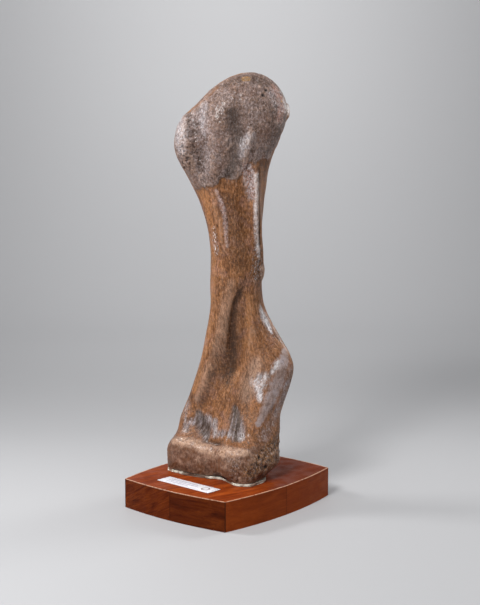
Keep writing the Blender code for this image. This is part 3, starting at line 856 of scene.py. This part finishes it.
def plate_colour(finish, look, patterns):
    plate = toned(finish, look, patterns["plate"], PLATE_TONES)
    plate = blended(finish, ramped(finish, patterns["broad"], 0.44, 0.60, 0.0, 0.55), plate, look.foot_brown)
    return blended(finish, times(finish, mark(finish, "valley"), 0.75), plate, look.fossa_grey)


def stained_shaded_and_highlit(finish, look, patterns, colour):
    """The colour with its dark stains and painted shade, its pale places and painted sheen, and its painted
    highlights.
    """
    fibres = patterns["fibres"]
    stain_and_shade = share(finish, "stain_and_shade", patterns["blotches"], 1.0, 0.20, 1.0)
    stain_and_shade = times(finish, stain_and_shade, ramped(finish, fibres, 0.40, 0.60, 0.85, 0.35))
    colour = blended(finish, stain_and_shade, colour, look.shaft_dark)
    # Painted sheen in pale lilac, with the pale ridge's own colour
    pale = times(finish, mark(finish, "pale"), ramped(finish, fibres, 0.36, 0.60, 0.40, 0.95))
    colour = blended(finish, pale, colour, look.lobe_lilac)
    # Painted highlights in white, solid where the mark is strongest
    painted_highlight = mark(finish, "painted_highlight")
    smear = weighted(finish, (0.55, patterns["silver"]), (0.45, fibres))
    solid = maths(finish, "MAXIMUM", maths(finish, "SUBTRACT", painted_highlight, 0.9), 0.0)
    patchy = times(finish, painted_highlight, ramped(finish, smear, 0.42, 0.58, 0.05, 0.85))
    return blended(finish, weighted(finish, (1.0, patchy), (1.1, solid)), colour, look.painted_highlight)


def finely_worn_shaded_and_glinting(finish, look, patterns, colour):
    """The colour with its fine grain, pores, holes and specks, painted shade in its hollows and painted
    glints, calmer where the bone is smooth.
    """
    smooth = weighted(
        finish,
        (1.0, mark(finish, "band")),
        (0.75, mark(finish, "head")),
        (0.45, mark(finish, "foot")),
        (0.40, mark(finish, "strands")),
    )
    where = {
        "everywhere": 1.0,
        "worn": ramped(finish, smooth, 0.1, 0.9, 1.0, 0.30),
        "strands": mark(finish, "strands"),
        "glint": mark(finish, "glint"),
    }

    def layered(under, layers):
        for place, pattern, low, high, start, end, key in layers:
            amount = times(finish, where[place], ramped(finish, patterns[pattern], low, high, start, end))
            under = blended(finish, amount, under, getattr(look, key))
        return under

    colour = layered(colour, GRAIN_LAYERS)
    colour = blended(finish, times(finish, mark(finish, "holes"), 0.8), colour, look.shaft_dark)
    colour = layered(colour, SPECK_LAYERS)
    return blended(finish, mark(finish, "black"), colour, PIT_BLACK)


def bone_colour(finish, look, patterns):
    """Brown shaft, worn taupe plate, greyed hollows, amber sides, rosy places, painted shade and painted
    highlights.
    """
    colour = toned(finish, look, patterns["shaft"], SHAFT_TONES)
    colour = coated(finish, look, patterns, colour, MARGIN_COATS)
    clouds = ramped(finish, patterns["mottle"], 0.50, 0.62, 0.0, 0.30)
    colour = blended(finish, clouds, colour, look.rose)
    colour = coated(finish, look, patterns, colour, END_COATS)
    plate = plate_colour(finish, look, patterns)
    colour = blended(finish, share(finish, "plate", patterns["plate_edge"], 1.3), colour, plate)
    colour = coated(finish, look, patterns, colour, PATCH_COATS)
    colour = blended(finish, share(finish, "yellow", patterns["fibres"], 0.6), colour, look.yellow)
    colour = stained_shaded_and_highlit(finish, look, patterns, colour)
    return finely_worn_shaded_and_glinting(finish, look, patterns, colour)


def bone_roughness(finish, patterns):
    dull = ramped(finish, patterns["speckle"], 0.36, 0.62, 0.34, 0.58)
    plate, head, gloss = mark(finish, "plate"), mark(finish, "head"), mark(finish, "gloss")
    return weighted(finish, (1.0, dull), (0.14, plate), (0.08, head), (-0.22, gloss))


def bone_relief(finish, patterns):
    """Height of the bone's fine relief, in metres."""
    crust = weighted(finish, (0.0042, patterns["fibres"]), (0.0008, patterns["fine"]))
    return weighted(
        finish,
        (0.0018, patterns["streaks"]),
        (0.00050, patterns["hairs"]),
        (1.0, times(finish, mark(finish, "plate"), crust)),
        (0.0022, patterns["speckle"]),
        (0.0004, ramped(finish, patterns["pores"], 0.0, 0.30)),
    )


def bone_finish(look):
    """Lacquered fossil bone."""
    finish = new_finish("fossil_bone_finish")
    patterns = bone_patterns(finish)
    colour = bone_colour(finish, look, patterns)
    lacquer(finish, BONE_SPECULAR, BONE_COAT, BONE_COAT_ROUGHNESS)
    return surfaced(finish, colour, bone_roughness(finish, patterns), bone_relief(finish, patterns))


# Painted shade darkens the front facings' brightness and painted light raises the right ones', over the
# veneers' own tones
# Each facing: its brightness, how much its grain curls, the way the grain slopes, and how even its colour is
FACING_WOODS = (
    ("facing_front_left", 0.46, 1.0, 0.5, 0.0),
    ("facing_front_right", 0.36, 0.1, 0.0, 0.0),
    ("facing_right_front", 0.98, 0.2, 0.1, 0.5),
    ("facing_right_back", 1.10, 0.2, 0.25, 0.5),
    ("facing_back_right", 0.80, 0.2, -0.1, 0.3),
    ("facing_back_left", 0.65, 0.4, 0.1, 0.2),
    ("facing_left_back", 0.75, 0.2, 0.0, 0.3),
    ("facing_left_front", 0.55, 0.3, -0.2, 0.1),
)
TOP_GRAIN_TURN = math.radians(-78)
TOP_CURL = 0.1
TOP_COAT = 0.012
FACING_COAT = 0.04
WOOD_SPECULAR = 0.03
VARNISH_ROUGHNESS = 0.10

# Dark lines where two facings meet: how dark they are at the corners and in the middle of a face, how wide,
# and their colour
CORNER_LINE = 0.85
MIDDLE_LINE = 0.30
NEAR_CORNER = 0.05
LINE_FADE = (0.0004, 0.0018)
LINE_COLOUR = (0.020, 0.006, 0.003)

# Painted highlight along the facings' top edge, between these depths below the top
EDGE_HIGHLIGHT_DEPTHS = (0.0016, 0.0004)


class FOSSIL_OT_varnish_plinth(bpy.types.Operator):
    """Give the plinth's core and its eight facings their varnished wood"""

    bl_idname = "fossil.varnish_plinth"
    bl_label = "Varnish the plinth"

    def execute(self, context):
        look = context.scene.plinth_look
        dress_node("plinth_core", top_wood(look))
        for name, tint, curl, slope, calm in FACING_WOODS:
            dress_node(name, facing_wood(look, name, tint, curl, slope, calm))
        return {"FINISHED"}


def dress_node(name, finish):
    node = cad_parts[name]
    node.data.materials.clear()
    node.data.materials.append(finish)


def wood_colour(finish, vector, light, dark, curl):
    """Colour and relief of fine reddish wood whose grain runs along the vector's x."""
    lines = grain(finish, mapped(finish, vector, (22, 1, 1)), 0.0042, 7, 0.6, 0.3 + curl)
    bands = grain(finish, mapped(finish, vector, (7, 1, 1)), 0.020, 4, 0.5, 0.6 + 3 * curl)
    pores = grain(finish, mapped(finish, vector, (16, 1, 1)), 0.0011, 3, 0.6)
    clouds = grain(finish, vector, 0.060, 3, 0.5)
    deep = dimmed(dark, 0.45)
    colour = tones(
        finish, weighted(finish, (0.45, lines), (0.55, bands)), (0.34, deep), (0.46, dark), (0.62, light)
    )
    colour = blended(finish, ramped(finish, clouds, 0.35, 0.65, 0.35, 0.0), colour, dark)
    colour = blended(finish, ramped(finish, pores, 0.36, 0.46, 0.5, 0.0), colour, deep)
    return colour, weighted(finish, (0.00012, lines), (0.00010, pores))


def varnished(finish, colour, relief, coat):
    smears = grain(finish, places(finish), 0.030, 5, 0.6)
    lacquer(finish, WOOD_SPECULAR, coat, VARNISH_ROUGHNESS)
    return surfaced(finish, colour, ramped(finish, smears, 0.35, 0.68, 0.34, 0.54), relief)


def top_wood(look):
    """The top's veneer, with painted shade darkening it towards its right and its back."""
    finish = new_finish("plinth_top_finish")
    here = places(finish)
    turned = mapped(finish, here, turn=TOP_GRAIN_TURN)
    colour, relief = wood_colour(finish, turned, look.top_light, look.top_dark, TOP_CURL)
    split = add(finish, "ShaderNodeSeparateXYZ", Vector=here)
    outward = weighted(finish, (1.0, split.outputs["X"]), (0.8, split.outputs["Y"]))
    shadow = ramped(finish, outward, 0.04, 0.18, 0.0, 0.80)
    colour = blended(finish, shadow, colour, dimmed(look.top_dark, 0.6))
    return varnished(finish, colour, relief, TOP_COAT)


def facing_wood(look, name, tint, curl, slope, calm):
    """Facing veneer, with a dark line at each end and a painted highlight along its top edge."""
    finish = new_finish(name + "_finish")
    here = places(finish)
    turned = add(finish, "ShaderNodeVectorRotate", {"rotation_type": "Y_AXIS"}, Vector=here, Angle=slope)
    along_x = name.split("_")[1] in ("front", "back")
    turn = 0.0 if along_x else math.pi / 2
    vector = mapped(finish, turned.outputs["Vector"], turn=turn, shift=(0.37 * len(name), 0.21 * tint, 0))
    light, dark = dimmed(look.top_light, tint), dimmed(look.top_dark, tint)
    colour, relief = wood_colour(finish, vector, light, dark, curl)
    colour = blended(finish, calm, colour, [0.42 * high + 0.58 * low for high, low in zip(light, dark)])
    split = add(finish, "ShaderNodeSeparateXYZ", Vector=here)
    low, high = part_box(name)
    along = split.outputs["X" if along_x else "Y"]
    for end in (low.x, high.x) if along_x else (low.y, high.y):
        gap = maths(finish, "ABSOLUTE", maths(finish, "SUBTRACT", along, end))
        depth = CORNER_LINE if abs(end) > NEAR_CORNER else MIDDLE_LINE
        colour = blended(finish, ramped(finish, gap, *LINE_FADE, depth, 0.0), colour, LINE_COLOUR)
    # A painted highlight along the top edge, broken up by noise
    edge_breaks = grain(finish, here, 0.010, 6, 0.7)
    edge = ramped(finish, split.outputs["Z"], *[PLINTH_TOP - depth for depth in EDGE_HIGHLIGHT_DEPTHS])
    worn = times(finish, edge, ramped(finish, edge_breaks, 0.38, 0.52, 0.25, 0.85))
    colour = blended(finish, worn, colour, look.edge_highlight)
    return varnished(finish, colour, relief, FACING_COAT)


PUTTY_LIGHT = (0.86, 0.84, 0.78)
PUTTY_SPECK = (0.22, 0.13, 0.07)
PUTTY_GRIME = (0.16, 0.07, 0.035)
PUTTY_SHADE = (0.085, 0.040, 0.022)

# The stretch along x where painted shade darkens the front of the bead, and the y that it lies in front of
SHADED_FROM = (-0.066, -0.052)
SHADED_TO = (0.004, 0.018)
SHADED_FRONT = -0.02


class FOSSIL_OT_lay_putty(bpy.types.Operator):
    """Shape the uneven putty that the bone's foot is bedded in"""

    bl_idname = "fossil.lay_putty"
    bl_label = "Lay the putty"

    def execute(self, context):
        look = context.scene.bedding_look
        putty = copy_of_node("putty_bed", "putty")
        putty.data.remesh_voxel_size = look.spacing
        bpy.ops.object.voxel_remesh()
        apply_modifier(putty, "SMOOTH", factor=0.5, iterations=2)
        mesh = putty.data
        points, normals = points_of(mesh), normals_of(mesh)
        low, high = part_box("putty_bed")
        hug = eased(0.016, 0.004, rim_gap(points))
        top = eased(low.z + 0.002, high.z, points[:, 2])
        inward = -0.0030 * eased(-0.3, 0.5, lumps(points, 0.040, 2, 6.0))
        inward += 0.0008 * lumps(points, 0.010, 3, 2.0)
        points += normals * (inward * hug)[:, None] * (1, 1, 0)
        points[:, 2] += top * hug * look.rise * (0.5 + 0.6 * lumps(points, 0.018, 2, 4.0))
        points[:, 2] = np.maximum(points[:, 2], low.z)
        set_points(mesh, points)
        make_active(putty)
        bpy.ops.object.shade_smooth()
        mesh.materials.append(putty_finish(look))
        hand_over(putty, "putty_bed")
        return {"FINISHED"}


def rim_gap(points):
    """How far in from the bed's edge each point lies, seen from above."""
    bed = points_of(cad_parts["putty_bed"].data)[:, :2]
    middle = bed.mean(axis=0)

    def polar(spots):
        offset = spots - middle
        return np.arctan2(offset[:, 1], offset[:, 0]), np.linalg.norm(offset, axis=1)

    compass, reach = polar(bed)
    order = np.argsort(compass)
    angle, radius = polar(points[:, :2])
    return np.interp(angle, compass[order], reach[order], period=2 * math.pi) - radius


def putty_finish(look):
    """Off-white putty with brown specks and grime, and painted shade darkening part of its front."""
    finish = new_finish("white_putty_finish")
    here = places(finish)
    soft, fine = grain(finish, here, 0.012, 5, 0.6), grain(finish, here, 0.0020, 5, 0.7)
    colour = tones(finish, soft, (0.32, dimmed(look.colour, 0.55)), (0.50, look.colour), (0.75, PUTTY_LIGHT))
    colour = blended(finish, ramped(finish, fine, 0.34, 0.44, 0.6, 0.0), colour, PUTTY_SPECK)
    grubby = grain(finish, here, 0.036, 5, 0.6)
    colour = blended(finish, ramped(finish, grubby, 0.46, 0.58, 0.0, 0.85), colour, PUTTY_GRIME)
    # Painted shade darkens part of the bead's front
    split = add(finish, "ShaderNodeSeparateXYZ", Vector=here)
    ragged = weighted(finish, (1.0, split.outputs["X"]), (0.030, soft))
    begun = ramped(finish, ragged, *SHADED_FROM, 0.0, 0.9)
    front_shade = times(finish, begun, ramped(finish, ragged, *SHADED_TO, 1.0, 0.0))
    front_shade = times(finish, front_shade, maths(finish, "LESS_THAN", split.outputs["Y"], SHADED_FRONT))
    colour = blended(finish, front_shade, colour, PUTTY_SHADE)
    relief = weighted(finish, (0.0010, soft), (0.0005, fine))
    return surfaced(finish, colour, ramped(finish, fine, 0.3, 0.7, 0.55, 0.8), relief)


CARD_BEVEL = 0.0003
LABEL_TURN = math.radians(-3.0)
LABEL_CENTRE = (-0.001, -0.137, 0.0)

# Plain rules on the card, measured from its middle: each one's height, left end and right end
RULES = ((0.0085, -0.062, 0.022), (0.0, -0.062, 0.030), (-0.0085, -0.062, 0.006))
RULE_HALF_HEIGHT = 0.0011
RING_PLACE = 0.053
RING_RADII = (0.0070, 0.0105)
RING_COLOUR = (0.16, 0.07, 0.05)
BORDER_HALF_SIZE = (0.0760, 0.0160)
BORDER_LINE = 0.0007


class FOSSIL_OT_print_label(bpy.types.Operator):
    """Bevel the label card's edges a little and draw a plain border, rules and a ring on it"""

    bl_idname = "fossil.print_label"
    bl_label = "Print the label"

    def execute(self, context):
        look = context.scene.label_look
        card = copy_of_node("label_card", "label")
        apply_modifier(card, "BEVEL", width=CARD_BEVEL, segments=2)
        bpy.ops.object.shade_smooth_by_angle(angle=math.radians(30))
        card.data.materials.append(label_finish(look))
        hand_over(card, "label_card")
        return {"FINISHED"}


def bar(finish, value, low, high):
    """1 where the value is between two numbers, with a sharp edge."""
    return times(finish, maths(finish, "GREATER_THAN", value, low), maths(finish, "LESS_THAN", value, high))


def card_places(finish):
    """Places along the card and up it, from its middle."""
    shift = add(finish, "ShaderNodeVectorMath", {"operation": "SUBTRACT"})
    join(finish, places(finish), shift.inputs[0])
    join(finish, LABEL_CENTRE, shift.inputs[1])
    turn = add(finish, "ShaderNodeVectorRotate", {"rotation_type": "Z_AXIS"}, Angle=-LABEL_TURN)
    join(finish, shift.outputs["Vector"], turn.inputs["Vector"])
    split = add(finish, "ShaderNodeSeparateXYZ", Vector=turn.outputs["Vector"])
    return split.outputs["X"], split.outputs["Y"]


def border_line(finish, across, up):
    """1 on a thin line round the card."""
    def inside(half_length, half_height):
        return times(
            finish, bar(finish, across, -half_length, half_length), bar(finish, up, -half_height, half_height)
        )

    half_length, half_height = BORDER_HALF_SIZE
    inner = inside(half_length - BORDER_LINE, half_height - BORDER_LINE)
    return maths(finish, "SUBTRACT", inside(half_length, half_height), inner)


def ring_line(finish, across, up):
    """1 on a plain ring at the card's right."""
    sideways = maths(finish, "POWER", maths(finish, "SUBTRACT", across, RING_PLACE), 2)
    radius = maths(finish, "SQRT", maths(finish, "ADD", sideways, maths(finish, "POWER", up, 2)))
    return bar(finish, radius, *RING_RADII)


def label_finish(look):
    """White card with a thin ruled border, three ruled lines and a plain ring."""
    finish = new_finish("label_card_finish")
    across, up = card_places(finish)
    lines = [border_line(finish, across, up)]
    for height, left, right in RULES:
        strip = bar(finish, up, height - RULE_HALF_HEIGHT, height + RULE_HALF_HEIGHT)
        lines.append(times(finish, strip, bar(finish, across, left, right)))
    soft = grain(finish, places(finish), 0.014, 4, 0.6)
    colour = tones(finish, soft, (0.30, dimmed(look.card, 0.93)), (0.70, look.card))
    for line in lines:
        colour = blended(finish, times(finish, line, 0.95), colour, look.ink)
    colour = blended(finish, times(finish, ring_line(finish, across, up), 0.8), colour, RING_COLOUR)
    fine = grain(finish, places(finish), 0.0016, 3, 0.6)
    return surfaced(finish, colour, ramped(finish, soft, 0.3, 0.7, 0.32, 0.48), times(finish, fine, 0.00004))


# Lamps, placed from the view: to its right, towards it and up, then size and power. Their aims are heights
LAMPS = (
    ("key", -0.85, 1.75, 1.75, 0.55, 50),
    ("rim_left", -1.25, -0.15, 1.25, 0.40, 15),
    ("rim_right", 1.05, -0.55, 1.10, 0.50, 9),
    ("overhead", 0.00, 0.35, 2.30, 0.80, 13),
)
WALL_LAMP = ("wall_wash", 0.0, -1.80, 2.60, 1.00, 70)
LAMPS_AIM = 0.5
WALL_LAMP_AIM = 1.6
ROOM_COLOUR = (0.90, 0.94, 1.0)
ROOM_STRENGTH = 0.10
FLOOR_ROUGHNESS = 0.6
FLOOR_BEND_STEPS = 16
FLOOR_SIZE = 14.0
FLOOR_RISE = 5.0
FLOOR_BEND = 1.6
WALL_BEHIND = 4.2
VIEW_TURN = math.radians(40.2)
VIEW_YAW = math.radians(39.65)
VIEW_PITCH = math.radians(7.1)
VIEW_DISTANCE = 2.814
VIEW_HEIGHT = 0.816


class FOSSIL_OT_set_stage(bpy.types.Operator):
    """Lay a plain pale floor and set soft lamps and the camera"""

    bl_idname = "fossil.set_stage"
    bl_label = "Set the stage"

    def execute(self, context):
        look = context.scene.stage_look
        lay_floor(look)
        light_room(context.scene)
        set_camera(context.scene, look)
        return {"FINISHED"}


def lay_floor(look):
    """A pale floor, flat round the plinth, that curves up into a wall far behind it."""
    deselect()
    bpy.ops.mesh.primitive_plane_add(size=FLOOR_SIZE, location=(0, 0, 0))
    floor = bpy.context.object
    floor.name = "floor"
    select_points(floor, lambda place: place.y > 0)
    bpy.ops.mesh.extrude_region_move(TRANSFORM_OT_translate={"value": (0, 0, FLOOR_RISE)})
    select_points(floor, lambda place: place.y > 0 and place.z < 0.5)
    bpy.ops.mesh.bevel(offset=FLOOR_BEND, segments=FLOOR_BEND_STEPS)
    bpy.ops.mesh.select_all(action="SELECT")
    bpy.ops.transform.translate(value=(0, WALL_BEHIND - FLOOR_SIZE / 2, 0))
    bpy.ops.transform.rotate(value=-VIEW_TURN, orient_axis="Z", center_override=(0, 0, 0))
    bpy.ops.object.mode_set(mode="OBJECT")
    bpy.ops.object.shade_smooth()
    finish = new_finish("floor_finish")
    shader = shader_of(finish)
    shader.inputs["Base Color"].default_value = coloured(look.floor)
    shader.inputs["Roughness"].default_value = FLOOR_ROUGHNESS
    floor.data.materials.append(finish)


def select_points(piece, wanted):
    """Leaves edit mode on with only the wanted points selected, and the edges between them."""
    if piece.mode == "EDIT":
        bpy.ops.object.mode_set(mode="OBJECT")
    mesh = piece.data
    for point in mesh.vertices:
        point.select = wanted(point.co)
    for edge in mesh.edges:
        edge.select = all(mesh.vertices[index].select for index in edge.vertices)
    for face in mesh.polygons:
        face.select = all(mesh.vertices[index].select for index in face.vertices)
    bpy.ops.object.mode_set(mode="EDIT")
    bpy.ops.mesh.select_mode(type="EDGE")


def light_room(scene):
    world = bpy.data.worlds.new("room")
    scene.world = world
    world.use_nodes = True
    background = world.node_tree.nodes["Background"]
    background.inputs["Color"].default_value = coloured(ROOM_COLOUR)
    background.inputs["Strength"].default_value = ROOM_STRENGTH
    right = Vector((math.cos(VIEW_TURN), math.sin(VIEW_TURN), 0))
    towards = Vector((math.sin(VIEW_TURN), -math.cos(VIEW_TURN), 0))

    def hang(name, sideways, forward, up, size, power, target):
        lamp = bpy.data.lights.new(name, "AREA")
        lamp.size = size
        lamp.energy = power
        holder = bpy.data.objects.new(name, lamp)
        scene.collection.objects.link(holder)
        holder.location = right * sideways + towards * forward + Vector((0, 0, up))
        holder.rotation_euler = (target - holder.location).to_track_quat("-Z", "Y").to_euler()

    for lamp_row in LAMPS:
        hang(*lamp_row, Vector((0, 0, LAMPS_AIM)))
    hang(*WALL_LAMP, towards * -WALL_BEHIND + Vector((0, 0, WALL_LAMP_AIM)))
    scene.view_settings.view_transform = "Standard"


def set_camera(scene, look):
    camera = bpy.data.cameras.new("camera")
    camera.sensor_width = 36
    camera.lens = look.lens
    holder = bpy.data.objects.new("camera", camera)
    scene.collection.objects.link(holder)
    ahead = Vector((-math.sin(VIEW_YAW), math.cos(VIEW_YAW), 0)) * math.cos(VIEW_PITCH)
    ahead.z = -math.sin(VIEW_PITCH)
    right = Vector((math.cos(VIEW_YAW), math.sin(VIEW_YAW), 0))
    turn = Matrix((right, right.cross(ahead), -ahead)).transposed()
    place = Vector((math.sin(VIEW_TURN), -math.cos(VIEW_TURN), 0)) * VIEW_DISTANCE
    place.z = VIEW_HEIGHT
    holder.matrix_world = Matrix.LocRotScale(place, turn.to_quaternion(), None)
    scene.camera = holder


class FOSSIL_PT_mount(bpy.types.Panel):
    """Lists the pieces of the mounted bone and their looks"""

    bl_idname = "FOSSIL_PT_mount"
    bl_label = "Mounted Fossil Humerus"
    bl_space_type = "VIEW_3D"
    bl_region_type = "UI"
    bl_category = "Fossil"

    def draw(self, context):
        for look_name, group, operator in SECTIONS:
            box = self.layout.box()
            look = getattr(context.scene, look_name)
            for key in group.__annotations__:
                box.prop(look, key)
            box.operator(operator.bl_idname)


SECTIONS = (
    ("bone_look", BoneLook, FOSSIL_OT_dress_bone),
    ("plinth_look", PlinthLook, FOSSIL_OT_varnish_plinth),
    ("bedding_look", BeddingLook, FOSSIL_OT_lay_putty),
    ("label_look", LabelLook, FOSSIL_OT_print_label),
    ("stage_look", StageLook, FOSSIL_OT_set_stage),
)


def register():
    for look_name, group, operator in SECTIONS:
        bpy.utils.register_class(group)
        bpy.utils.register_class(operator)
        setattr(bpy.types.Scene, look_name, bpy.props.PointerProperty(type=group))
    bpy.utils.register_class(FOSSIL_PT_mount)


def unregister():
    bpy.utils.unregister_class(FOSSIL_PT_mount)
    for look_name, group, operator in reversed(SECTIONS):
        delattr(bpy.types.Scene, look_name)
        bpy.utils.unregister_class(operator)
        bpy.utils.unregister_class(group)


def main():
    register()
    bpy.ops.fossil.dress_bone()
    bpy.ops.fossil.varnish_plinth()
    bpy.ops.fossil.lay_putty()
    bpy.ops.fossil.print_label()
    bpy.ops.fossil.set_stage()


if __name__ == "__main__":
    main()
